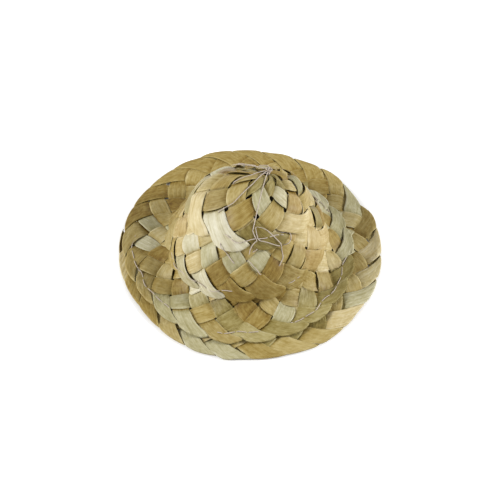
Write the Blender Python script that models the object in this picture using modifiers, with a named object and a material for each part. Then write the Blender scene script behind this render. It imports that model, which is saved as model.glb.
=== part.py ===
"""Small plaited straw sun hat: leaf strips plaited five wide, the plait sewn in a spiral from tip to rim."""

import math

import bmesh
import bpy
import numpy as np

# Straw strips
STRAW_WIDTH = 0.0062
STRAW_THICKNESS = 0.00025
SLIT = 0.0006
LAYER_GAP = 0.00045
STRIPS_IN_PLAIT = 5  # an odd number
LEAVES_PER_STRAND = 5
STAGGER = 0.7
TAPER = 0.72
TAPER_LENGTH = 0.08
SPLICE_GAP = 0.0006
SPLICE_CELL = 2

# Rows of plait on the hat
ROW_OVERLAP = 0.0061
ROW_GAP = 0.00065
START_REACH = 0.0162
TIP_HOLE = 0.0015
TIP_RIGHT = 0.0070
TIP_BACK = 0.0080
START_ANGLE = math.radians(170)
JOIN_TURNS = 0.8
TAIL_TURNS = 0.95

# Shape of the hat
BRIM_RADIUS = 0.050
DOME_HALF_WIDTH = 0.0320
DOME_HALF_HEIGHT = 0.0570
WALL_ANGLE = math.radians(75)
BASE_BEND = 0.0100

# Sewing thread
THREAD_RADIUS = 0.00025
THREAD_GAP = 0.0005
STITCH = 0.0055
SEAM_INSET = 0.0040
LEG_TURNS = 0.74
LEG_STOP = 0.0030
LEG_RISE = 0.0060
KNOT = 2.4
KNOT_LENGTH = 0.0012

# How finely the curves are worked out
DOME_STEPS = 160
BEND_STEPS = 40
TURN_STEPS = 4000
STRIP_COLUMNS = 2
FOLD_MIDDLE = 0.85
SEAM_STEPS = 2000
LEAD_STEPS = 100

# Colours: name, red, green, blue, roughness
STRAWS = (
    ("straw_golden", 0.47, 0.34, 0.14, 0.55),
    ("straw_tan", 0.40, 0.29, 0.13, 0.60),
    ("straw_pale", 0.62, 0.56, 0.37, 0.50),
    ("straw_olive", 0.42, 0.36, 0.18, 0.58),
)
THREAD_COLOUR = ("thread_white", 0.72, 0.66, 0.60, 0.80)

# Sizes that follow from those above
SPACING = STRAW_WIDTH + SLIT
PLAIT_WIDTH = STRIPS_IN_PLAIT * SPACING / math.sqrt(2)
LAYER_STEP = STRAW_THICKNESS + LAYER_GAP
PLAIT_THICKNESS = LAYER_STEP + STRAW_THICKNESS
ROW_PITCH = PLAIT_WIDTH - ROW_OVERLAP
ROW_STEP = PLAIT_THICKNESS + ROW_GAP
ROW_SLOPE = ROW_STEP / ROW_PITCH
BRIM_ANGLE = math.atan(ROW_SLOPE)
# Cells are counted along a strip, which crosses another at the middle of each
CELL_REACH = 0.5 - LAYER_STEP / SPACING / 2
FOLD_REACH = 1 + CELL_REACH
FIRST_RUN = -2

hat = bpy.data.collections.new("plaited_straw_hat")


def clear():
    """Empties the file."""
    for thing in list(bpy.data.objects):
        bpy.data.objects.remove(thing)
    bpy.context.scene.collection.children.link(hat)


def material(name, red, green, blue, roughness):
    """A plain Principled material."""
    made = bpy.data.materials.new(name)
    made.use_nodes = True
    shader = made.node_tree.nodes["Principled BSDF"]
    shader.inputs["Base Color"].default_value = (red, green, blue, 1)
    shader.inputs["Roughness"].default_value = roughness
    shader.inputs["Metallic"].default_value = 0
    return made


def meridian():
    """The hat's half section from tip to rim: distance along it, radius, height and downward slope."""
    end = math.atan(DOME_HALF_WIDTH / DOME_HALF_HEIGHT * math.tan(WALL_ANGLE))
    turn = np.linspace(0, end, DOME_STEPS + 1)
    dome_r = DOME_HALF_WIDTH * np.sin(turn)
    dome_z = DOME_HALF_HEIGHT * np.cos(turn)
    dome_slope = np.arctan2(DOME_HALF_HEIGHT * np.sin(turn), DOME_HALF_WIDTH * np.cos(turn))
    bend = np.linspace(WALL_ANGLE, BRIM_ANGLE, BEND_STEPS + 1)[1:]
    bend_r = dome_r[-1] + BASE_BEND * (math.sin(WALL_ANGLE) - np.sin(bend))
    bend_z = dome_z[-1] - BASE_BEND * (np.cos(bend) - math.cos(WALL_ANGLE))
    brim_z = bend_z[-1] - (BRIM_RADIUS - bend_r[-1]) * ROW_SLOPE
    radius = np.concatenate([dome_r, bend_r, [BRIM_RADIUS]])
    height = np.concatenate([dome_z, bend_z, [brim_z]])
    slope = np.concatenate([dome_slope, bend, [BRIM_ANGLE]])
    along = np.concatenate([[0], np.cumsum(np.hypot(np.diff(radius), np.diff(height)))])
    return along, radius, height, slope


ALONG, RADIUS, HEIGHT, SLOPE = meridian()
RIM = ALONG[-1]
BEND_START = ALONG[DOME_STEPS]
BEND_END = ALONG[-2]
RIM_TURNS = (RIM - START_REACH) / ROW_PITCH
LAST_TURN = RIM_TURNS + TAIL_TURNS
# The rim row's underside stands on the floor
FLOOR_DROP = PLAIT_THICKNESS / 2 - ROW_SLOPE * PLAIT_WIDTH / 2


def row_edges(turns):
    """Inner and outer edge of the plait along the meridian, and where its outer edge would be unclamped."""
    nominal = START_REACH + ROW_PITCH * turns
    outer = np.minimum(nominal, RIM)
    part = np.clip((turns - 1) / JOIN_TURNS, 0, 1)
    eased = part * part * (3 - 2 * part)
    inner = TIP_HOLE + (outer - PLAIT_WIDTH - TIP_HOLE) * eased
    return np.maximum(inner, TIP_HOLE), outer, nominal


def centre_line():
    """Turns made along the middle of the plait, against its length."""
    turns = np.linspace(0, LAST_TURN, TURN_STEPS + 1)
    inner, outer = row_edges(turns)[:2]
    middle = (inner + outer) / 2
    radius = np.interp(middle, ALONG, RADIUS)
    swept = (radius[1:] + radius[:-1]) / 2 * np.diff(turns) * 2 * math.pi
    step = np.hypot(swept, np.diff(middle))
    return turns, np.concatenate([[0], np.cumsum(step)])


TURNS, LENGTH = centre_line()


def tail_lift(turns, along):
    """How far the brim rises over the plait's tucked tail."""
    past = np.mod(turns - RIM_TURNS, 1)
    rise = np.interp(past, [0, TAIL_TURNS, 1], [0, ROW_STEP * TAIL_TURNS, 0])
    return rise * np.clip((along - BEND_START) / (BEND_END - BEND_START), 0, 1)


def off_centre(turns, along):
    """The plait starts off the crown's top and comes back to the middle at the crown's foot."""
    angle = START_ANGLE - 2 * math.pi * turns
    shift = np.clip(1 - along / BEND_START, 0, 1)
    right = along * np.cos(angle) + TIP_RIGHT * shift
    back = along * np.sin(angle) + TIP_BACK * shift
    return np.hypot(right, back), np.arctan2(back, right)


def on_hat(turns, along, nominal, height):
    """The point at a height over its row's middle surface."""
    over = height + ROW_SLOPE * (along - nominal + PLAIT_WIDTH / 2)
    lift = tail_lift(turns, along)
    along, angle = off_centre(turns, along)
    slope = np.interp(along, ALONG, SLOPE)
    radius = np.interp(along, ALONG, RADIUS) + over * np.sin(slope)
    level = np.interp(along, ALONG, HEIGHT) + over * np.cos(slope) + lift
    level = level - HEIGHT[-1] + FLOOR_DROP
    return np.stack([radius * np.cos(angle), radius * np.sin(angle), level], axis=-1)


def place(length, across):
    """Turns made, distance along the meridian and unclamped outer edge at a place on the plait."""
    turns = np.interp(length, LENGTH, TURNS)
    inner, outer, nominal = row_edges(turns)
    return turns, inner + (across / PLAIT_WIDTH + 0.5) * (outer - inner), nominal


def run_stations(run):
    """Stations of one run from fold to fold, over one strip, under the next: cells, slant, over or under."""
    leave = [(cell, 1 - cell / FOLD_REACH, 1) for cell in (0, FOLD_MIDDLE, FOLD_REACH)]
    arrive = [(STRIPS_IN_PLAIT - cell, slant, -1) for cell, slant, _ in reversed(leave)]
    weave = []
    for cell in range(2, STRIPS_IN_PLAIT - 1):
        side = 1 if cell % 2 == 1 else -1
        weave += [(cell - CELL_REACH, 0, side), (cell, 0, side), (cell + CELL_REACH, 0, side)]
    return [(run, *station) for station in leave + weave + arrive]


def station_places(strand, run, cells, slant):
    """Length along the plait and width across it of a station's points, from edge to edge of the strip."""
    start = strand * SPACING * math.sqrt(2) + run * PLAIT_WIDTH
    middle = start + cells * SPACING / math.sqrt(2)
    width = STRAW_WIDTH * np.interp(middle, [0, TAPER_LENGTH], [TAPER, 1])
    beside = np.linspace(-width / 2, width / 2, STRIP_COLUMNS + 1)
    travelled = cells * SPACING - slant * beside
    across = PLAIT_WIDTH / 2 - (travelled + beside) / math.sqrt(2)
    return start + (travelled - beside) / math.sqrt(2), across if run % 2 == 0 else -across


def strip_stations(strand):
    """Stations of a whole strand on the plait's length. On the flat brim cells need no middle one."""
    places = splices(strand)
    stations = []
    for run in range(FIRST_RUN, math.ceil(LENGTH[-1] / PLAIT_WIDTH) + 1):
        for station in run_stations(run):
            length, across = station_places(strand, *station[:3])
            inside = length.min() > 0 and length.max() < LENGTH[-1]
            curved = place(length, across)[1].min() < BEND_END
            splice = run in places and station[1] == SPLICE_CELL
            if inside and (curved or splice or station[1] not in range(2, STRIPS_IN_PLAIT - 1)):
                stations.append(station)
    return stations


def strip_points(strand, stations):
    """Rows of points along the strip, from one edge to the other."""
    points = []
    for run, cells, slant, side in stations:
        length, across = station_places(strand, run, cells, slant)
        points.append(on_hat(*place(length, across), side * LAYER_STEP / 2))
    return np.concatenate(np.swapaxes(points, 0, 1))


def leaf(name, strand, stations, colour):
    """One leaf strip: a sheet laid along its stations, thickened."""
    points = strip_points(strand, stations)
    sheet = bmesh.new()
    bmesh.ops.create_grid(sheet, x_segments=len(stations) - 1, y_segments=STRIP_COLUMNS, size=1)
    sheet.verts.ensure_lookup_table()
    for vert, point in zip(sheet.verts, points):
        vert.co = point
    bmesh.ops.triangulate(sheet, faces=sheet.faces, quad_method="SHORT_EDGE")
    mesh = bpy.data.meshes.new(name)
    sheet.to_mesh(mesh)
    sheet.free()
    made = bpy.data.objects.new(name, mesh)
    hat.objects.link(made)
    thick = made.modifiers.new("thickness", "SOLIDIFY")
    thick.thickness = STRAW_THICKNESS
    thick.offset = 0
    thick.use_even_offset = True
    mesh.materials.append(colour)


def splices(strand):
    """Runs in which one leaf of a strand gives way to the next, each hidden under a crossing strip."""
    start = -2 * strand / STRIPS_IN_PLAIT
    leaf_runs = LENGTH[-1] / PLAIT_WIDTH / LEAVES_PER_STRAND
    shift = STAGGER * (strand / (STRIPS_IN_PLAIT - 1) - 0.5)
    return [math.floor(start + leaf_runs * (number + shift)) for number in range(1, LEAVES_PER_STRAND)]


def split(strand, stations):
    """A strand's stations leaf by leaf."""
    leaves = [[]]
    places = splices(strand)
    gap = SPLICE_GAP / SPACING / 2
    for station in stations:
        run, cell, slant, side = station
        if run in places and cell == SPLICE_CELL:
            leaves[-1].append((run, cell - gap, slant, side))
            leaves.append([(run, cell + gap, slant, side)])
        else:
            leaves[-1].append(station)
    return leaves


def plait():
    """Every leaf strip of the plait."""
    colours = [material(*straw) for straw in STRAWS]
    count = 0
    for strand in range(STRIPS_IN_PLAIT):
        for number, stations in enumerate(split(strand, strip_stations(strand))):
            name = "strip_" + "abcdefghijkl"[strand] + str(number + 1)
            leaf(name, strand, stations, colours[(count + strand) % len(colours)])
            count += 1


def thread(name, points, thickness, colour):
    """A thread along points, knotted where its thickness grows."""
    curve = bpy.data.curves.new(name, "CURVE")
    curve.dimensions = "3D"
    curve.bevel_depth = THREAD_RADIUS
    curve.bevel_resolution = 0
    curve.use_fill_caps = True
    line = curve.splines.new("POLY")
    line.points.add(len(points) - 1)
    for place, point, thick in zip(line.points, points, thickness):
        place.co = (*point, 1)
        place.radius = thick
    made = bpy.data.objects.new(name, curve)
    hat.objects.link(made)
    curve.materials.append(colour)


def seam():
    """The thread on the outside that holds each row down on the next: up one side of the tip, then round."""
    seam_turns = np.linspace(0, LAST_TURN - 1, SEAM_STEPS + 1)
    turns = np.concatenate([np.full(LEAD_STEPS, LEG_TURNS), np.zeros(LEAD_STEPS), seam_turns])
    outer, nominal = row_edges(turns)[1:]
    along = outer - SEAM_INSET
    along[:LEAD_STEPS] = np.linspace(along[0] - LEG_STOP, 0, LEAD_STEPS)
    along[LEAD_STEPS:2 * LEAD_STEPS] = np.linspace(0, along[2 * LEAD_STEPS], LEAD_STEPS, endpoint=False)
    nominal[:LEAD_STEPS] = np.interp(along[:LEAD_STEPS], [0, LEG_RISE], [nominal[LEAD_STEPS], nominal[0]])
    height = PLAIT_THICKNESS / 2 + THREAD_GAP + THREAD_RADIUS
    fine = on_hat(turns, along, nominal, height)
    length = np.concatenate([[0], np.cumsum(np.linalg.norm(np.diff(fine, axis=0), axis=1))])
    ends = np.array([0, KNOT_LENGTH / 2, KNOT_LENGTH])
    stops = np.linspace(0, length[-1], int(length[-1] / STITCH) + 1)
    stops = np.concatenate([ends, stops[1:-1], length[-1] - ends[::-1]])
    points = np.stack([np.interp(stops, length, fine[:, axis]) for axis in range(3)], axis=-1)
    knot = np.isin(stops, [KNOT_LENGTH / 2, length[-1] - KNOT_LENGTH / 2])
    thread("seam_thread", points, np.where(knot, KNOT, 1), material(*THREAD_COLOUR))


clear()
plait()
seam()
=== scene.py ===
import math

import bpy
import numpy as np
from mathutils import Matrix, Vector


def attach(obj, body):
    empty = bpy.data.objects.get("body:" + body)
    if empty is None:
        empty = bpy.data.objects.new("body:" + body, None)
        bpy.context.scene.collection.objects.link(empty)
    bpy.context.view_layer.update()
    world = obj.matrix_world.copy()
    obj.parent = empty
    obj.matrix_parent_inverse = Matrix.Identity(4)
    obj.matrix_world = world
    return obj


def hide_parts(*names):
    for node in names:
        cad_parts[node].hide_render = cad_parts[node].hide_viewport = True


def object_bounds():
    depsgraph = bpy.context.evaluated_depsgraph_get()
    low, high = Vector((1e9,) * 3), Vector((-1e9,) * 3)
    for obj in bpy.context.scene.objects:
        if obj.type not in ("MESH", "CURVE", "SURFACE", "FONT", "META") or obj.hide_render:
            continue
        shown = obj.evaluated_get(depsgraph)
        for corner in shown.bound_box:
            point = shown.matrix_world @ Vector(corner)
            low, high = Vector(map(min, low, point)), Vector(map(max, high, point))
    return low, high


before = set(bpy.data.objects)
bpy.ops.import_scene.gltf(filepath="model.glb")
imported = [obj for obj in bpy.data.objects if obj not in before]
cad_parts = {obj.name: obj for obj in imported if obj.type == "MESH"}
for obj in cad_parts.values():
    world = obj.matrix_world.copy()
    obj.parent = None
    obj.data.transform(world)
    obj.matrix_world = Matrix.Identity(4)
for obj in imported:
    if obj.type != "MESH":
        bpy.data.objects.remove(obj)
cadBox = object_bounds()
dice = np.random.default_rng(41)  # one seeded source for every leaf's own irregularity
millimetres = 1000  # in a metre

# shape of the hat, in metres, the same sizes as the solids
hat = {
    "brimRadius": 0.050,
    "domeHalfWidth": 0.0320,
    "domeHalfHeight": 0.0570,
    "wallAngle": math.radians(75),
    "baseBend": 0.0100,
    "spare": 0.0040,
    "domeSteps": 160,
    "bendSteps": 40,
}

# how the plait is laid on it: its strands, its rows, its start at the tip and how rows press on each other
plait = {
    "strands": 5,
    "leaves": 5,
    "stagger": 0.7,
    "spliceCell": 2,
    "firstDive": 1.5,
    "spacing": 0.0068,
    "thickness": 0.00095,
    "overlap": 0.0061,
    "rowGap": 0.00065,
    "startReach": 0.0162,
    "tipHole": 0.0015,
    "tipRight": 0.0070,
    "tipBack": 0.0080,
    "startAngle": math.radians(170),
    "joinTurns": 0.8,
    "tailTurns": 0.95,
    "turnSteps": 4000,
    "press": 0.7,
    "pressFrom": 0.20,
    "pressOver": 0.25,
    "pressRim": 0.006,
}
strandLetters = "abcde"

plaitWidth = plait["strands"] * plait["spacing"] / math.sqrt(2)
runLength = plait["strands"] * plait["spacing"]
rowPitch = plaitWidth - plait["overlap"]
rowStep = plait["thickness"] + plait["rowGap"]
rowSlope = rowStep / rowPitch


def smooth(x):
    x = np.clip(x, 0, 1)
    return x * x * (3 - 2 * x)  # three x squared less two x cubed


def ripple(x, lengths, heights, phases):
    # sum of sines
    return sum(h * np.sin(2 * np.pi * x / n + p) for n, h, p in zip(lengths, heights, phases))


def halfSection():
    # quarter ellipse down to the wall's slope, then an arc out to the drooping brim
    wall, brim = hat["wallAngle"], math.atan(rowSlope)
    wide, tall, bend = hat["domeHalfWidth"], hat["domeHalfHeight"], hat["baseBend"]
    turn = np.linspace(0, math.atan(wide / tall * math.tan(wall)), hat["domeSteps"] + 1)
    arc = np.linspace(wall, brim, hat["bendSteps"] + 1)[1:]
    domeR, domeZ = wide * np.sin(turn), tall * np.cos(turn)
    arcR = domeR[-1] + bend * (math.sin(wall) - np.sin(arc))
    arcZ = domeZ[-1] - bend * (np.cos(arc) - math.cos(wall))
    brimR = np.array([hat["brimRadius"], hat["brimRadius"] + hat["spare"]])
    radius = np.concatenate([domeR, arcR, brimR])
    height = np.concatenate([domeZ, arcZ, arcZ[-1] - (brimR - arcR[-1]) * rowSlope])
    slope = np.concatenate([np.arctan2(tall * np.sin(turn), wide * np.cos(turn)), arc, [brim, brim]])
    along = np.concatenate([[0], np.cumsum(np.hypot(np.diff(radius), np.diff(height)))])
    return along, radius, height, slope


sectionAlong, sectionRadius, sectionHeight, sectionSlope = halfSection()
rimAlong = sectionAlong[-2]
bendStart, bendEnd = sectionAlong[hat["domeSteps"]], sectionAlong[-3]
rimTurns = (rimAlong - plait["startReach"]) / rowPitch
lastTurn = rimTurns + plait["tailTurns"]
floorDrop = plait["thickness"] / 2 - rowSlope * plaitWidth / 2 - sectionHeight[-2]


def brimShare(along):
    # nothing on the crown, rising smoothly to one where the brim lies flat
    return smooth((along - bendStart) / (bendEnd - bendStart))


def spiralAngle(turns):
    # the plait winds clockwise from its start, one full circle a turn
    return plait["startAngle"] - 2 * np.pi * turns


def rowEdges(turns):
    # the outer edge moves one pitch a turn until the rim; the inner one leaves the tip after the first turn
    nominal = plait["startReach"] + rowPitch * turns
    outer = np.minimum(nominal, rimAlong)
    eased = smooth((turns - 1) / plait["joinTurns"])
    inner = plait["tipHole"] + (outer - plaitWidth - plait["tipHole"]) * eased
    return np.maximum(inner, plait["tipHole"]), outer, nominal


def windingLength():
    # length of the plait's middle line against the turns it has made
    turns = np.linspace(0, lastTurn, plait["turnSteps"] + 1)
    inner, outer, _ = rowEdges(turns)
    middle = (inner + outer) / 2
    radius = np.interp(middle, sectionAlong, sectionRadius)
    swept = (radius[1:] + radius[:-1]) / 2 * np.diff(turns) * 2 * np.pi
    return turns, np.concatenate([[0], np.cumsum(np.hypot(swept, np.diff(middle)))])


windTurns, windLength = windingLength()
plaitLength = windLength[-1]

# hand-made unevenness of the whole hat: waves round it and down it, and a dent at the back of the crown
sag = {
    "round": (3, 5, 8, 13),
    "size": (0.00035, 0.00028, 0.00022, 0.00016),
    "down": (0.061, 0.037, 0.023, 0.015),
    "calmTip": 0.02,
    "brimLift": 0.0004,
    "dent": 0.0025,
    "dentPlace": (0.001, 0.0185, 0.030),
    "dentReach": 0.010,
}
sagPhase = dice.uniform(0, 2 * np.pi, (2, len(sag["round"])))


def unevenness(angle, along):
    # sum of waves, each a sine round the hat times a sine down it
    waves = zip(sag["round"], sag["size"], sag["down"], sagPhase[0], sagPhase[1])
    return sum(s * np.sin(n * angle + p) * np.cos(2 * np.pi * along / d + q) for n, s, d, p, q in waves)


# where the hand-sewn rim swells out or draws in: direction and reach in degrees, size in metres
rimBumps = [
    (18, 5, 0.0004),
    (26, 4, -0.0010),
    (33, 9, -0.0016),
    (65, 9, -0.0010),
    (80, 4, -0.0008),
    (110, 17, 0.0013),
    (115, 4, -0.0008),
    (215, 18, -0.0011),
    (248, 6, 0.0005),
    (260, 3, 0.0009),
    (300, 7, 0.0007),
    (324, 6, -0.0008),
]
rimFade = {"from": 0.014, "over": 0.012}


def rimShift(angle, along):
    # sum of bell curves round the rim, fading out over the brim's outer part
    off = [np.mod(np.degrees(angle) - place + 180, 360) - 180 for place, _, _ in rimBumps]
    bells = sum(size * np.exp(-(o / reach) ** 2) for o, (_, reach, size) in zip(off, rimBumps))
    return bells * smooth((along - rimAlong + rimFade["from"]) / rimFade["over"])


def offCentre(turns, along):
    # the plait starts off the crown's top and comes back to the middle at the crown's foot
    angle = spiralAngle(turns)
    shift = np.clip(1 - along / bendStart, 0, 1)
    right = along * np.cos(angle) + plait["tipRight"] * shift
    back = along * np.sin(angle) + plait["tipBack"] * shift
    return np.hypot(right, back), np.arctan2(back, right)


def onHat(turns, along, nominal, height):
    # point at a height over its row's middle surface: section radius and height, moved along the normal
    past = np.mod(turns - rimTurns, 1)
    rise = np.interp(past, [0, plait["tailTurns"], 1], [0, rowStep * plait["tailTurns"], 0])
    lift = rise * np.clip((along - bendStart) / (bendEnd - bendStart), 0, 1)
    over = height + rowSlope * (along - nominal + plaitWidth / 2)
    along, angle = offCentre(turns, along)
    brim = brimShare(along)
    uneven = smooth(along / sag["calmTip"]) - brim / 2
    over = over + unevenness(angle, along) * uneven + sag["brimLift"] * brim
    along = along + rimShift(angle, along)
    slope = np.interp(along, sectionAlong, sectionSlope)
    radius = np.interp(along, sectionAlong, sectionRadius)
    level = np.interp(along, sectionAlong, sectionHeight) + lift + floorDrop
    place = np.stack([radius * np.cos(angle), radius * np.sin(angle), level], axis=-1)
    away = np.linalg.norm(place - sag["dentPlace"], axis=-1)
    over = over - sag["dent"] * np.exp(-(away / sag["dentReach"]) ** 2)
    normal = [np.sin(slope) * np.cos(angle), np.sin(slope) * np.sin(angle), np.cos(slope)]
    return place + over[..., None] * np.stack(normal, axis=-1)


def onPlait(length, across, height):
    # length and distance across the plait, carried round the spiral; outer edges press on the row below
    turns = np.interp(length, windLength, windTurns)
    inner, outer, nominal = rowEdges(turns)
    along = inner + (across / plaitWidth + 0.5) * (outer - inner)
    press = smooth((across / plaitWidth - plait["pressFrom"]) / plait["pressOver"])
    press = press * smooth((rimAlong - outer) / plait["pressRim"])
    return onHat(turns, along, nominal, height - press * plait["rowGap"] * plait["press"])


print("hat surface laid out: plait", round(plaitLength, 4), "m long in", round(lastTurn, 2), "turns")

# one leaf strip: its size, its folds, how it goes over and under, how it varies, its painted shade and
# highlight, and its mesh
leaf = {
    "width": 0.0068,
    "thickness": 0.00036,
    "thinPower": 12,  # higher gives squarer edges
    "tipTaper": 0.74,
    "taperLength": 0.08,
    "firstCut": 1.1,  # in strip widths
    "spliceGap": 0.0003,
    "foldRound": 0.00022,
    "foldBlend": 4,
    "petal": 0.0024,
    "petalPower": 3,
    "petalReach": 0.0038,
    "rimPetal": 0.0004,
    "rimReach": 0.0050,
    "leanStop": 1.1,  # in strip spacings, as are the dives and the eases
    "edgeLay": (0.05, 0.18),  # on the crown and on the brim
    "layPlaces": (0.30, 0.50),  # shares of the plait's length
    "edgeLift": 0.0005,
    "liftReach": 0.0035,
    "layerStep": 0.00078,
    "dive": 0.26,
    "diveReach": 0.15,
    "pinch": 0.10,
    "pillow": 0.00016,
    "crown": 0.00006,
    "tilt": 0.00034,
    "shingle": 0.00012,
    "swellEase": 0.7,
    "backPress": 0.50,
    "backFrom": 0.1,
    "backOver": 0.6,
    "rightPuff": 0.50,
    "rightFrom": 0.3,
    "rightOver": 0.5,
    "sway": 0.00040,
    "swayEase": 0.8,
    "widthSpread": 0.09,
    "puffSpread": 0.45,
    # painted highlight along the strip's edges and painted shade where it dives under a crossing strip,
    # both as powers on its tone
    "paintedEdgeHighlight": 0.24,
    "edgePower": 10,
    "paintedDiveShade": 0.24,
    "stationsPerRun": 78,
    "foldCrowd": 0.8,
    "across": 11,
    "leastNormal": 1e-12,
    "grainShift": 1.7,  # no two strands share a stretch of grain
}

# a strip leaves each fold on top, then goes under one and over one
runsBefore = 2  # spare runs of a strip at each end of the plait
runCount = math.ceil(plaitLength / plaitWidth) + 2 * runsBefore
dives = np.arange(plait["firstDive"], plait["strands"] - 1)
tilesPerRun = len(dives) + 1
tileTilt = dice.normal(0, 1, (plait["strands"], tilesPerRun * runCount))


def shownEnds():
    # where each tile that shows begins and ends
    first = np.arange(-runsBefore, runCount - runsBefore)[:, None] * plait["strands"]
    ends = np.concatenate([[0], dives])
    return (first + ends).ravel() * plait["spacing"]


shown = shownEnds()
swayKnots = dice.normal(0, leaf["sway"], (plait["strands"], len(shown)))
widthKnots = dice.normal(1, leaf["widthSpread"], (plait["strands"], len(shown)))
puffKnots = dice.normal(1, leaf["puffSpread"], (plait["strands"], len(shown)))


def foldCells(travelled):
    # strip spacings since the last fold, and to the nearest one
    cells = np.mod(travelled / plait["spacing"], plait["strands"])
    return cells, np.minimum(cells, plait["strands"] - cells)


def tileOf(travelled):
    # one tile between neighbouring dives
    cells, _ = foldCells(travelled)
    run = np.floor(travelled / runLength).astype(int)
    return tilesPerRun * (run + runsBefore) + sum((cells > dive).astype(int) for dive in dives)


def latticePlace(strand, travelled, beside):
    # a straight strip at 45 degrees, folded back and forth between the plait's two edges
    length = strand * plait["spacing"] * math.sqrt(2) + (travelled - beside) / math.sqrt(2)
    crossed = (travelled + beside) / math.sqrt(2)
    fold = np.round(crossed / plaitWidth)
    past = crossed - fold * plaitWidth
    outerFold = np.where(np.mod(fold, 2) == 0, 1, -1)
    return length, past, outerFold


# straw colours and how common each one is
tones = {
    "golden": ((0.345, 0.256, 0.080), 0.42),
    "tan": ((0.365, 0.284, 0.107), 0.18),
    "brown": ((0.265, 0.180, 0.040), 0.16),
    "olive": ((0.275, 0.222, 0.074), 0.14),
    "sage": ((0.425, 0.390, 0.225), 0.06),
    "light": ((0.51, 0.415, 0.205), 0.02),
    "pale": ((0.51, 0.465, 0.300), 0.01),
    "cream": ((0.65, 0.605, 0.445), 0.01),
    "peach": ((0.45, 0.345, 0.150), 0.00),
}
toneSpread = 0.13
toneRun = 12  # tiles in a row that may share their leaf's tone
toneKept = 0.45  # how many of them do

# places on the hat where neighbouring leaves keep to one tone: x, y, z and reach in millimetres; the light
# ones on the crown's left and right sides, where the side lamps fall, are painted highlight
toneAndHighlightPlaces = {
    "brown": [(-8, -26, 14, 8), (2, -27, 16, 8), (14, -25, 11, 6)],
    "golden": [(-18, -19, 17, 5), (0, 45, 1, 16), (30, 34, 1, 10), (-30, 34, 1, 10)],
    "light": [
        (-19, -6, 29, 8), (-25, -9, 16, 8), (-25, 2, 19, 7),
        (18, -8, 29, 8), (23, -14, 20, 7), (27, -8, 12, 8),
    ],
    "olive": [(1, -43, 1, 6), (14, -39, 1, 6), (22, -35, 1, 6), (-8, -34, 2, 5)],
}

# single leaves that stand out: strand letter and tile number along it
toneTiles = {
    "golden": "d96 e58 a18 b70 c74 d66 e106 b14 e62 c32 a34 c94 e96 a104 c112 a78",
    "tan": "b32 c72 d14 d54 e54 c100 c30 b110 a94 b94 a96 e86 d58 b60 d104 c64 d88 c70 a72",
    "brown": "c14",
    "olive": "b66 e100 c56 a16 c66",
    "sage": "e10 b34 c34 d34 a56 c90 b56 d90 c88 b96 a70 c106 e64 c104 b104 e70 d70 d110 b90 b62 e90 d64",
    "light": "c38 d36 c96 a68 b38",
    "pale": "b16 d10 e34 a40 e32",
    "cream": "b68",
    "peach": "b30 a32 d28 a14 e24 c92 a60 d38 a42",
}


def tilePlaces():
    # middle of every tile: half-way between its dives or folds, carried onto the hat
    tiles = np.arange(tilesPerRun * runCount)
    strand, tile = np.meshgrid(np.arange(plait["strands"]), tiles, indexing="ij")
    ends = np.concatenate([[0], dives, [plait["strands"]]])
    cells = ((ends[1:] + ends[:-1]) / 2)[tile % tilesPerRun]
    travelled = ((tile // tilesPerRun - runsBefore) * plait["strands"] + cells) * plait["spacing"]
    length, past, outerFold = latticePlace(strand, travelled, 0)
    return onPlait(np.clip(length, 0, plaitLength), outerFold * (plaitWidth / 2 - np.abs(past)), 0)


def tileTonesAndHighlights():
    # each leaf keeps one tone over about half its tiles, the rest are drawn by how common they are
    names = list(tones)
    common = np.array([tones[name][1] for name in names])
    shape = (plait["strands"], tilesPerRun * runCount)
    leafTone = dice.choice(len(names), (shape[0], shape[1] // toneRun + 1), p=common)
    leafTone = np.repeat(leafTone, toneRun, axis=1)[:, :shape[1]]
    drawn = dice.choice(len(names), shape, p=common)
    picked = np.where(dice.random(shape) < toneKept, leafTone, drawn)
    middle = tilePlaces() * millimetres
    # the light places paint highlight onto the crown's sides
    for name, places in toneAndHighlightPlaces.items():
        for x, y, z, reach in places:
            picked[np.linalg.norm(middle - (x, y, z), axis=-1) < reach] = names.index(name)
    for name, tiles in toneTiles.items():
        for tile in tiles.split():
            picked[strandLetters.index(tile[0]), int(tile[1:])] = names.index(name)
    colour = np.array([tones[name][0] for name in names])[picked]
    return colour ** dice.normal(1, toneSpread, shape)[..., None]  # a higher power is darker and richer


tileColour = tileTonesAndHighlights()


def stripStations(start, end):
    # even steps along the strip, drawn closer together at the folds by a sine
    even = np.arange(start / runLength, end / runLength, 1 / leaf["stationsPerRun"])
    even = np.concatenate([even, [end / runLength]])
    station = (even - leaf["foldCrowd"] * np.sin(2 * np.pi * even) / (2 * np.pi)) * runLength
    return np.clip(station, start, end)


def stripWidth(strand, travelled):
    # narrower at the tip's start, then the full width times the leaf's own unevenness
    length = strand * plait["spacing"] * math.sqrt(2) + travelled / math.sqrt(2)
    wide = leaf["width"] * np.interp(length, [0, leaf["taperLength"]], [leaf["tipTaper"], 1])
    return wide * np.interp(travelled, shown, widthKnots[strand])


def foldDistance(past):
    # a hyperbola in place of a sharp crease: root of the distance squared plus the rounding squared
    return np.sqrt(past ** 2 + leaf["foldRound"] ** 2)


def foldReach(length, past, toRim, t):
    # share of the way out to the plait's edge: a rounded fold with its corners drawn in, less so at the rim
    flat = leaf["foldRound"] * np.exp(-(past / leaf["foldRound"] / leaf["foldBlend"]) ** 2)
    petal = np.interp(toRim, [0, leaf["rimReach"]], [leaf["rimPetal"], leaf["petal"]])
    corner = petal * np.abs(t) ** leaf["petalPower"] * np.exp(-(past / leaf["petalReach"]) ** 2)
    reach = 1 - 2 * (foldDistance(past) - flat + corner) / plaitWidth
    lay = np.interp(length / plaitLength, leaf["layPlaces"], leaf["edgeLay"])
    return reach * (1 + lay * (1 - reach ** 2))  # near the brim's edges strips lie flatter along the plait


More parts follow.
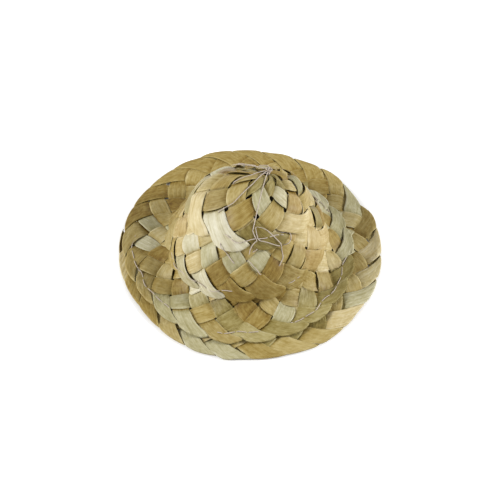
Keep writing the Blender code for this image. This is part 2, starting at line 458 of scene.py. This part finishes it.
def layerHeight(strand, travelled, past, t):
    # half a layer up or down, changing sides at dives and folds, plus a swell, a slant and a curve across
    cells, near = foldCells(travelled)
    side, swell = np.abs(past) / foldDistance(past), smooth(near / leaf["swellEase"])
    for dive in dives:
        side = side * (1 - 2 * smooth((cells - dive) / leaf["dive"] / 2 + 0.5))
        swell = swell * np.abs(np.sin(np.clip(cells - dive, -0.5, 0.5) * np.pi))
    puff = np.interp(travelled, shown, puffKnots[strand])
    rise = leaf["layerStep"] / 2 + puff * (leaf["pillow"] * swell - leaf["crown"] * t ** 2)
    slant = leaf["tilt"] * tileTilt[strand, tileOf(travelled)] + leaf["shingle"] * side
    return side * rise + swell * slant * t


def looseness(turns, brim):
    # the plait lies flatter at the back of the brim and looser on the right of the crown
    angle = spiralAngle(turns)
    behind = smooth((np.sin(angle) - leaf["backFrom"]) / leaf["backOver"])
    right = smooth((np.cos(angle) - leaf["rightFrom"]) / leaf["rightOver"])
    return 1 - leaf["backPress"] * brim * behind + leaf["rightPuff"] * (1 - brim) * right


def stripSheet(strand, start, end):
    # middle sheet of a strip: stations lean to lie along the folds, heights go over one and under one
    share = np.sin(np.linspace(-0.5, 0.5, leaf["across"]) * np.pi)
    travelled, t = np.meshgrid(stripStations(start, end), share, indexing="ij")
    cells, near = foldCells(travelled)
    diving = sum(np.exp(-((cells - dive) / leaf["diveReach"]) ** 2) for dive in dives)
    wide = stripWidth(strand, travelled) * (1 - leaf["pinch"] * diving)
    sway = np.interp(travelled, shown, swayKnots[strand]) * smooth(near / leaf["swayEase"])
    beside = t * wide / 2 + sway
    lean = 1 - smooth(near / (plait["strands"] / 2 - leaf["leanStop"]))
    length, past, outerFold = latticePlace(strand, travelled - lean * beside, beside)

    turns = np.interp(length, windLength, windTurns)
    outer = rowEdges(turns)[1]
    brim = brimShare(outer)
    toRim = np.where(outerFold > 0, rimAlong - outer, leaf["rimReach"])
    across = outerFold * foldReach(length, past, toRim, t) * plaitWidth / 2
    height = layerHeight(strand, travelled, past, t) * looseness(turns, brim)
    lifted = np.where(outerFold > 0, brim * smooth(toRim / leaf["rimReach"]), 0)
    lifted = lifted * np.exp(-(past / leaf["liftReach"]) ** 2)
    height = height + leaf["edgeLift"] * lifted  # on the brim the outer folds stand off the row below

    sheet = onPlait(np.clip(length, 0, plaitLength), across, height)
    sheet[..., 2] = np.maximum(sheet[..., 2], leaf["thickness"] / 2)  # the rim lies flat on the table
    # painted shade darkens the tone where the strip dives under a crossing one, painted highlight lightens
    # it along the edges
    paintedShading = leaf["paintedDiveShade"] * diving - leaf["paintedEdgeHighlight"] * np.abs(t) ** leaf["edgePower"]
    return sheet, travelled, t, wide, tileColour[strand, tileOf(travelled)] ** (1 + paintedShading)[..., None]


def stripRings(sheet, t):
    # closed ring at each station: the sheet moved out both ways along its normal, thinning to the edges
    normal = np.cross(np.gradient(sheet, axis=0), np.gradient(sheet, axis=1))
    normal /= np.maximum(np.linalg.norm(normal, axis=-1, keepdims=True), leaf["leastNormal"])
    thick = leaf["thickness"] / 2 * np.sqrt(1 - np.abs(t) ** leaf["thinPower"])[..., None]
    return np.concatenate([sheet + normal * thick, (sheet - normal * thick)[:, -2:0:-1]], axis=1)


def ringMesh(name, rings, grain, colours):
    # quads between neighbouring rings, and one many-sided cap at each end
    count, sides = rings.shape[:2]
    here = np.arange(count * sides).reshape(count, sides)
    there = np.roll(here, -1, axis=1)
    quads = np.stack([here[:-1], there[:-1], there[1:], here[1:]], axis=-1).reshape(-1, 4)
    corner = np.concatenate([quads.ravel(), here[0, ::-1], here[-1]])
    total = np.concatenate([np.full(len(quads), 4), [sides, sides]])
    first = np.concatenate([[0], np.cumsum(total)[:-1]])
    points = rings.reshape(-1, 3)
    fan = quads[:, [0, 1, 2]]
    volume = np.einsum("ij,ij->", points[fan[:, 0]], np.cross(points[fan[:, 1]], points[fan[:, 2]]))
    if volume < 0:  # inside out: turn every face round
        turned = np.repeat(first + total - 1, total) - (np.arange(len(corner)) - np.repeat(first, total))
        corner = corner[turned]
    mesh = bpy.data.meshes.new(name)
    mesh.vertices.add(len(points))
    mesh.vertices.foreach_set("co", points.ravel())
    mesh.loops.add(len(corner))
    mesh.loops.foreach_set("vertex_index", corner)
    mesh.polygons.add(len(total))
    mesh.polygons.foreach_set("loop_start", first)
    mesh.polygons.foreach_set("loop_total", total)
    mesh.polygons.foreach_set("use_smooth", np.ones(len(total), dtype=bool))
    mesh.update(calc_edges=True)
    layer = mesh.uv_layers.new(name="grain")
    layer.uv.foreach_set("vector", grain.reshape(-1, 2)[corner].ravel())
    # for the strips this colour holds their tone with the painted shade at dives and painted highlight on
    # edges
    paint = mesh.color_attributes.new("toneAndPaintedShading", "FLOAT_COLOR", "POINT")
    opaque = np.ones((len(points), 1))
    paint.data.foreach_set("color", np.concatenate([colours.reshape(-1, 3), opaque], axis=1).ravel())
    mesh.validate()
    piece = bpy.data.objects.new(name, mesh)
    bpy.context.collection.objects.link(piece)
    return piece


def spliceLengths(strand):
    # where one leaf gives way to the next, each under a crossing strip
    start = -2 * strand / plait["strands"]
    leafRuns = plaitLength / plaitWidth / plait["leaves"]
    shift = plait["stagger"] * (strand / (plait["strands"] - 1) - 0.5)
    runs = [math.floor(start + leafRuns * (number + shift)) for number in range(1, plait["leaves"])]
    return [(run * plait["strands"] + plait["spliceCell"]) * plait["spacing"] for run in runs]


# the straw's finish: each pattern's scale along the grain, scale across it and detail, and the powers that
# its low and high values raise the leaf's tone to; for each bump, its strength and depth
strawFinish = {
    "fibre": (180, 5200, 4),
    "fibrePowers": (1.18, 0.84),
    "band": (60, 1300, 3),
    "bandPowers": (1.07, 0.94),
    "paleTones": (0.26, 0.40),
    "paleBand": (0.17, -0.17),
    "mottle": (800, 1100, 3),
    "mottlePowers": (1.15, 0.86),
    "blotch": (260, 420, 2),
    "blotchPowers": (1.12, 0.88),
    "noiseRange": (0.3, 0.7),
    "roughness": (0.42, 0.60),
    "specular": 0.3,
    "crumple": (330, 700, 3),
    "crumpleBump": (0.5, 0.0006),
    "fibreBump": (0.35, 0.00012),
}


def bumped(nodes, links, height, strength, depth):
    # tilts the face by the slope of the height times its depth, mixed in by the strength
    bump = nodes.new("ShaderNodeBump")
    bump.inputs["Strength"].default_value = strength
    bump.inputs["Distance"].default_value = depth
    links.new(height, bump.inputs["Height"])
    return bump


def strawMaterial():
    # the strip's tone with its painted shade and highlight, raised to a power by fibres, bands, mottling
    # and blotches, with a satin face
    made = bpy.data.materials.new("leafStraw")
    made.use_nodes = True
    nodes, links = made.node_tree.nodes, made.node_tree.links
    shader = nodes["Principled BSDF"]
    shader.inputs["Specular IOR Level"].default_value = strawFinish["specular"]
    toneAndPaintedShading = nodes.new("ShaderNodeAttribute")
    toneAndPaintedShading.attribute_name = "toneAndPaintedShading"
    lay = nodes.new("ShaderNodeUVMap")
    lay.uv_map = "grain"

    def streaks(alongScale, acrossScale, detail):
        stretch = nodes.new("ShaderNodeMapping")
        stretch.inputs["Scale"].default_value = (alongScale, acrossScale, 1)
        links.new(lay.outputs["UV"], stretch.inputs["Vector"])
        noise = nodes.new("ShaderNodeTexNoise")
        noise.inputs["Scale"].default_value = 1
        noise.inputs["Detail"].default_value = detail
        links.new(stretch.outputs["Vector"], noise.inputs["Vector"])
        return noise.outputs["Fac"]

    def ranged(value, span, target):
        change = nodes.new("ShaderNodeMapRange")
        for socket, limit in zip(("From Min", "From Max", "To Min", "To Max"), (*span, *target)):
            change.inputs[socket].default_value = limit
        links.new(value, change.inputs["Value"])
        return change.outputs["Result"]

    def raised(colour, power):
        gamma = nodes.new("ShaderNodeGamma")
        links.new(colour, gamma.inputs["Color"])
        links.new(power, gamma.inputs["Gamma"])
        return gamma.outputs["Color"]

    def scaled(change, share):
        power = nodes.new("ShaderNodeMath")  # one plus the change times its share
        power.operation = "MULTIPLY_ADD"
        power.inputs[2].default_value = 1
        links.new(change, power.inputs[0])
        links.new(share, power.inputs[1])
        return power.outputs[0]

    patterns = ("fibre", "band", "mottle", "blotch")
    fibre, band, mottle, blotch = [streaks(*strawFinish[pattern]) for pattern in patterns]
    spread = strawFinish["noiseRange"]
    colour = raised(toneAndPaintedShading.outputs["Color"], ranged(fibre, spread, strawFinish["fibrePowers"]))
    colour = raised(colour, ranged(band, spread, strawFinish["bandPowers"]))
    paleness = ranged(toneAndPaintedShading.outputs["Fac"], strawFinish["paleTones"], (0, 1))
    streakier = scaled(ranged(band, spread, strawFinish["paleBand"]), paleness)
    colour = raised(colour, streakier)  # pale leaves show their bands more
    colour = raised(colour, ranged(mottle, spread, strawFinish["mottlePowers"]))
    colour = raised(colour, ranged(blotch, spread, strawFinish["blotchPowers"]))
    links.new(colour, shader.inputs["Base Color"])
    links.new(ranged(fibre, spread, strawFinish["roughness"]), shader.inputs["Roughness"])
    crumple = bumped(nodes, links, streaks(*strawFinish["crumple"]), *strawFinish["crumpleBump"])
    grain = bumped(nodes, links, fibre, *strawFinish["fibreBump"])
    links.new(crumple.outputs["Normal"], grain.inputs["Normal"])
    links.new(grain.outputs["Normal"], shader.inputs["Normal"])
    return made


straw = strawMaterial()


def leafStrip(name, strand, start, end):
    # one strip from its first station to its last
    sheet, travelled, t, wide, colours = stripSheet(strand, start, end)
    rings = stripRings(sheet, t)
    around = np.concatenate([np.arange(leaf["across"]), np.arange(leaf["across"])[-2:0:-1]])
    grain = np.stack([travelled + strand * leaf["grainShift"], t * wide / 2], axis=-1)[:, around]
    piece = ringMesh(name, rings, grain, colours[:, around])
    piece.data.materials.append(straw)
    return piece


for strand in range(plait["strands"]):
    cuts = spliceLengths(strand)
    gap = leaf["spliceGap"] / 2
    first = -2 * strand * plait["spacing"] + leaf["width"] * leaf["firstCut"]
    last = plaitLength * math.sqrt(2) - 2 * strand * plait["spacing"] - leaf["width"]
    starts = [first] + [cut + gap for cut in cuts]
    ends = [cut - gap for cut in cuts] + [last]
    for number, (start, end) in enumerate(zip(starts, ends)):
        label = strandLetters[strand] + str(number + 1)
        node = "strip_" + label
        strip = leafStrip("leaf_" + label, strand, start, end)
        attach(strip, "root")
        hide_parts(node)
print("leaf strips laid:", plait["strands"] * plait["leaves"])

# sewing thread, over the tip and then round the rows just inside each outer edge: its stitches, where it
# sinks between the leaves, how it wanders, its way over the tip, its mesh and its finish
thread = {
    "radius": 0.00017,
    "height": 0.00080,
    "inset": 0.0040,
    "stitch": 0.0046,
    "stitchEase": 0.16,
    "stitchDrift": 0.25,
    "driftLength": 0.021,
    "dip": 0.0011,
    "sink": 0.0012,
    "sinkFrom": 0.1,
    "sinkOver": 0.5,
    "sinkWaves": ((0.083, 0.047, 0.029), (1, 0.8, 0.6), (2.0, 0.3, 1.1)),
    "brimShow": 0.7,
    "brimReach": 0.01,
    "wander": 0.0005,
    "wanderWaves": ((0.017, 0.0093), (1, 0.6), (0.4, 2.1)),
    "tipWander": 0.4,
    "seamEase": 0.004,
    "legTurns": 0.74,
    "legStop": 0.0030,
    "legRise": 0.0060,
    "loops": 2.6,
    "loopReach": 0.0013,
    "loopLobes": 5,
    "loopSwing": 0.25,
    "sideTurns": 0.90,
    "sideReach": 0.0125,
    "leadTurns": 0.06,
    "legSteps": 200,
    "seamSteps": 6000,
    "step": 0.00035,
    "sides": 8,
    "frameAxis": (0.02, 0.03, 1.0),
    "colour": (0.57, 0.49, 0.41),
    "paintedHollowShade": 0.8,
    "roughness": 0.85,
    "specular": 0.2,
    "twistScale": 1500,
    "twistWaver": 1.5,
    "twistBump": (0.4, 0.00006),
}
tipSteps = 5 * thread["legSteps"]  # five stretches lead over the tip to the seam

# loose stitches on the front of the crown: millimetres right of and behind the tip, the crown pressed flat
looseStitches = [
    [(0, 0), (-3, -4.5), (-5, -8), (-8.5, -11.5), (-10.5, -13.5), (-16.5, -14.5)],
    [(-15, -25), (-13, -28), (-9, -33.5)],
    [(-2.5, -32), (1, -34.5), (4, -37)],
    [(12.5, -33.5), (13.5, -29), (10.5, -25.5), (6, -23.5), (2.5, -22), (-2, -21)],
    [(-1.5, -21.5), (-0.5, -24), (0.5, -25.5), (5.5, -26), (10, -26)],
    [(12, -25.5), (13, -24.5), (14, -22.5), (13, -20)],
    [(-3, -30.5), (-2.5, -27.5), (0, -25.5)],
]


def runningMean(row, reach=3):
    # each value becomes the mean of itself and its neighbours on both sides
    window = np.full(2 * reach + 1, 1 / (2 * reach + 1))
    return np.convolve(np.pad(row, reach, mode="edge"), window, mode="valid")


def loosePath():
    # straight runs between the points with rounded corners, on whichever row lies on top there
    spots = np.concatenate(looseStitches) / millimetres
    lastPoints = np.cumsum([len(stitch) for stitch in looseStitches])[:-1] - 1
    inside = np.zeros(len(spots))
    inside[lastPoints] = 1  # between stitches it runs underneath
    far = np.concatenate([[0], np.cumsum(np.linalg.norm(np.diff(spots, axis=0), axis=1))])
    even = np.arange(0, far[-1], thread["step"])
    right, back = [runningMean(np.interp(even, far, row)) for row in spots.T]
    along, angle = np.hypot(right, back), np.arctan2(back, right)
    turns = (plait["startAngle"] - angle) / (2 * np.pi)
    row = np.maximum(np.ceil((along - plait["startReach"]) / rowPitch - turns), 0)
    near = np.interp(along, [0, thread["legRise"]], [0, 1])
    rise = runningMean(along - plait["startReach"] - rowPitch * (turns + row) * near)
    return turns, along, along - rise, inside[np.searchsorted(far, even, side="right") - 1]


def seamRoute():
    # front leg up to the tip, loops over it, side leg out and back underneath, lead down, then the spiral
    lead = thread["legSteps"]
    out = np.linspace(0, 1, lead)
    loops = thread["loops"] * out
    seamTurns = np.linspace(thread["leadTurns"], lastTurn - 1, thread["seamSteps"])
    held = [thread["legTurns"], thread["sideTurns"], thread["sideTurns"], thread["leadTurns"]]
    front, side, back, down = [np.full(lead, turn) for turn in held]
    turns = np.concatenate([front, front - loops, side, back, down, seamTurns])
    _, outer, nominal = rowEdges(turns)
    along = outer - thread["inset"]
    ring, sideEnd, swing = thread["loopReach"], thread["sideReach"], thread["loopSwing"]
    along[:lead] = along[0] - thread["legStop"] + (ring - along[0] + thread["legStop"]) * out
    along[lead:2 * lead] = ring * (1 - swing + swing * np.cos(thread["loopLobes"] * loops))
    along[2 * lead:3 * lead] = ring + (sideEnd - ring) * out
    along[3 * lead:4 * lead] = sideEnd + (ring - sideEnd) * out
    along[4 * lead:tipSteps] = ring + (along[tipSteps] - ring) * out
    near = np.interp(along[:tipSteps], [0, thread["legRise"]], [0, 1])
    nominal[:tipSteps] = plait["startReach"] + (nominal[:tipSteps] - plait["startReach"]) * near
    under = np.zeros(len(turns))
    under[3 * lead:4 * lead] = 1
    return turns, along, nominal, under


def threadPath():
    # loose stitches, tip and seam in even steps, with a dip at each stitch and a sink where it hides
    loose = loosePath()
    turns, along, nominal, under = [np.concatenate(rows) for rows in zip(loose, seamRoute())]
    rough = onHat(turns, along, nominal, np.zeros(len(turns)))
    far = np.concatenate([[0], np.cumsum(np.linalg.norm(np.diff(rough, axis=0), axis=1))])
    even = np.arange(0, far[-1], thread["step"])
    hidden = smooth(runningMean(np.interp(even, far, under)))
    seam = smooth((even - far[len(loose[0]) + tipSteps]) / thread["seamEase"])
    turns, along, nominal = [np.interp(even, far, row) for row in (turns, along, nominal)]
    sewn = even - far[len(loose[0])]
    calm = thread["tipWander"]
    along = along + (calm + (1 - calm) * seam) * thread["wander"] * ripple(sewn, *thread["wanderWaves"])
    part = np.mod(sewn / thread["stitch"] + thread["stitchDrift"] * np.sin(sewn / thread["driftLength"]), 1)
    stitch = smooth(part / thread["stitchEase"]) * smooth((1 - part) / thread["stitchEase"])
    shows = ripple(sewn, *thread["sinkWaves"])
    shows = shows + thread["brimShow"] * smooth((along - bendStart) / thread["brimReach"])
    sunk = 1 - smooth((shows - thread["sinkFrom"]) / thread["sinkOver"])  # long stretches on the crown
    height = thread["height"] - seam * np.maximum(thread["dip"] * (1 - stitch), thread["sink"] * sunk)
    return onHat(turns, along, nominal, height - thread["sink"] * hidden), even


def threadPiece():
    # a round profile carried along the path on frames turned with the hat's axis
    path, even = threadPath()
    ahead = np.gradient(path, axis=0)
    ahead /= np.linalg.norm(ahead, axis=1, keepdims=True)
    beside = np.cross(ahead, thread["frameAxis"])
    beside /= np.linalg.norm(beside, axis=1, keepdims=True)
    above = np.cross(beside, ahead)
    turn = np.linspace(0, 2 * np.pi, thread["sides"], endpoint=False)
    ring = np.cos(turn)[None, :, None] * beside[:, None] + np.sin(turn)[None, :, None] * above[:, None]
    rings = path[:, None] + thread["radius"] * ring
    grain = np.stack(np.broadcast_arrays(even[:, None], turn[None] / (2 * np.pi)), axis=-1)
    colours = np.broadcast_to(np.array(thread["colour"]), rings.shape)
    return ringMesh("sewing_thread", rings, grain, colours)


def threadMaterial():
    # matt cotton with the twist as slanting ridges, and painted shade darkening the hollows between them
    made = bpy.data.materials.new("cottonThread")
    made.use_nodes = True
    nodes, links = made.node_tree.nodes, made.node_tree.links
    shader = nodes["Principled BSDF"]
    shader.inputs["Roughness"].default_value = thread["roughness"]
    shader.inputs["Specular IOR Level"].default_value = thread["specular"]
    lay = nodes.new("ShaderNodeUVMap")
    lay.uv_map = "grain"
    twist = nodes.new("ShaderNodeMapping")
    twist.inputs["Scale"].default_value = (thread["twistScale"], 1, 1)
    links.new(lay.outputs["UV"], twist.inputs["Vector"])
    ply = nodes.new("ShaderNodeTexWave")
    ply.bands_direction = "DIAGONAL"
    ply.inputs["Scale"].default_value = 1
    ply.inputs["Distortion"].default_value = thread["twistWaver"]
    links.new(twist.outputs["Vector"], ply.inputs["Vector"])
    # painted shade: the hollows of the twist are darker than its ridges
    paintedShading = nodes.new("ShaderNodeMix")
    paintedShading.data_type = "RGBA"
    paintedShading.inputs[6].default_value = (*[thread["paintedHollowShade"] * c for c in thread["colour"]], 1)
    paintedShading.inputs[7].default_value = (*thread["colour"], 1)
    links.new(ply.outputs["Fac"], paintedShading.inputs[0])
    links.new(paintedShading.outputs[2], shader.inputs["Base Color"])
    ridges = bumped(nodes, links, ply.outputs["Fac"], *thread["twistBump"])
    links.new(ridges.outputs["Normal"], shader.inputs["Normal"])
    return made


seam = threadPiece()
seam.data.materials.append(threadMaterial())
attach(seam, "root")
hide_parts("seam_thread")
print("thread sewn")

# pale floor, soft light and the camera
studio = {
    "elevation": math.radians(52.5),
    "distance": 0.50,
    "aim": (0.0, 0.0, 0.0),
    "lens": 94.0,
    "sensor": 36,
    "floorSize": 4.0,
    "floorColour": (0.80, 0.80, 0.80, 1),
    "floorRoughness": 0.9,
    "floorGlow": 0.80,
    # painted shade on the floor under the hat: no glow inside the first radius, full glow past the second
    "glowFrom": 0.046,
    "glowFull": 0.056,
    "worldLight": 0.34,
    "leftPlace": (-0.76, -0.12, 0.42),
    "rightPlace": (0.76, -0.05, 0.42),
    "sidePower": 6.9,
    "sideSize": 0.28,
}


def seenDirectly(nodes, links, strength):
    # strength for camera, glossy and transmission rays, nothing for the light that reaches the hat
    path = nodes.new("ShaderNodeLightPath")
    glossy = nodes.new("ShaderNodeMath")
    glossy.operation = "MAXIMUM"
    links.new(path.outputs["Is Camera Ray"], glossy.inputs[0])
    links.new(path.outputs["Is Glossy Ray"], glossy.inputs[1])
    both = nodes.new("ShaderNodeMath")
    both.operation = "MAXIMUM"
    links.new(glossy.outputs[0], both.inputs[0])
    links.new(path.outputs["Is Transmission Ray"], both.inputs[1])
    amount = nodes.new("ShaderNodeMath")
    amount.operation = "MULTIPLY"
    amount.inputs[1].default_value = strength
    links.new(both.outputs[0], amount.inputs[0])
    return amount.outputs[0]


def paleFloor():
    # a big flat square whose own colour is lifted to white for the camera and for gloss, except in a disc
    # of painted shade under the hat
    half = studio["floorSize"] / 2
    level = min(cadBox[0].z, 0)
    mesh = bpy.data.meshes.new("paleFloor")
    corners = [(-half, -half, level), (half, -half, level), (half, half, level), (-half, half, level)]
    mesh.from_pydata(corners, [], [(0, 1, 2, 3)])
    floor = bpy.data.objects.new("paleFloor", mesh)
    bpy.context.collection.objects.link(floor)
    made = bpy.data.materials.new("paleFloor")
    made.use_nodes = True
    nodes, links = made.node_tree.nodes, made.node_tree.links
    shader = nodes["Principled BSDF"]
    shader.inputs["Base Color"].default_value = studio["floorColour"]
    shader.inputs["Roughness"].default_value = studio["floorRoughness"]
    shader.inputs["Specular IOR Level"].default_value = 0
    shader.inputs["Emission Color"].default_value = (1, 1, 1, 1)
    place = nodes.new("ShaderNodeTexCoord")
    away = nodes.new("ShaderNodeVectorMath")
    away.operation = "LENGTH"
    links.new(place.outputs["Object"], away.inputs[0])
    # painted shade: the floor under the hat stays dark, where the rest of it glows white
    shadeDiscMask = nodes.new("ShaderNodeMapRange")  # no glow under the hat, so its gaps stay dark
    shadeDiscMask.interpolation_type = "SMOOTHSTEP"
    shadeDiscMask.inputs["From Min"].default_value = studio["glowFrom"]
    shadeDiscMask.inputs["From Max"].default_value = studio["glowFull"]
    links.new(away.outputs["Value"], shadeDiscMask.inputs["Value"])
    glow = nodes.new("ShaderNodeMath")
    glow.operation = "MULTIPLY"
    links.new(seenDirectly(nodes, links, studio["floorGlow"]), glow.inputs[0])
    links.new(shadeDiscMask.outputs["Result"], glow.inputs[1])
    links.new(glow.outputs[0], shader.inputs["Emission Strength"])
    mesh.materials.append(made)


def paleSky():
    # even light on the hat, plain white where the camera looks past the floor
    world = bpy.data.worlds.new("paleSky")
    bpy.context.scene.world = world
    world.use_nodes = True
    nodes, links = world.node_tree.nodes, world.node_tree.links
    sky = nodes["Background"]
    sky.inputs["Color"].default_value = (1, 1, 1, 1)
    lift = nodes.new("ShaderNodeMath")
    lift.operation = "ADD"
    lift.inputs[1].default_value = studio["worldLight"]
    links.new(seenDirectly(nodes, links, 1 - studio["worldLight"]), lift.inputs[0])
    links.new(lift.outputs[0], sky.inputs["Strength"])


def softLamp(name, place, power, size):
    # a round lamp that faces the middle of the brim
    lamp = bpy.data.lights.new(name, "AREA")
    lamp.energy = power
    lamp.shape = "DISK"
    lamp.size = size
    stand = bpy.data.objects.new(name, lamp)
    stand.location = place
    stand.rotation_euler = (-Vector(place)).to_track_quat("-Z", "Y").to_euler()
    bpy.context.collection.objects.link(stand)


def photoCamera():
    # looks along +Y, down on the hat from the photograph's height
    camera = bpy.data.objects.new("photoCamera", bpy.data.cameras.new("photoCamera"))
    rise, aim = studio["elevation"], Vector(studio["aim"])
    back = Vector((0, -math.cos(rise), math.sin(rise)))
    camera.location = aim + back * studio["distance"]
    camera.rotation_euler = (-back).to_track_quat("-Z", "Y").to_euler()
    camera.data.lens = studio["lens"]
    camera.data.sensor_width = studio["sensor"]
    bpy.context.collection.objects.link(camera)
    bpy.context.scene.camera = camera


paleFloor()
paleSky()
softLamp("leftLamp", studio["leftPlace"], studio["sidePower"], studio["sideSize"])
softLamp("rightLamp", studio["rightPlace"], studio["sidePower"], studio["sideSize"])
photoCamera()
bpy.context.scene.view_settings.view_transform = "Standard"
print("studio set")
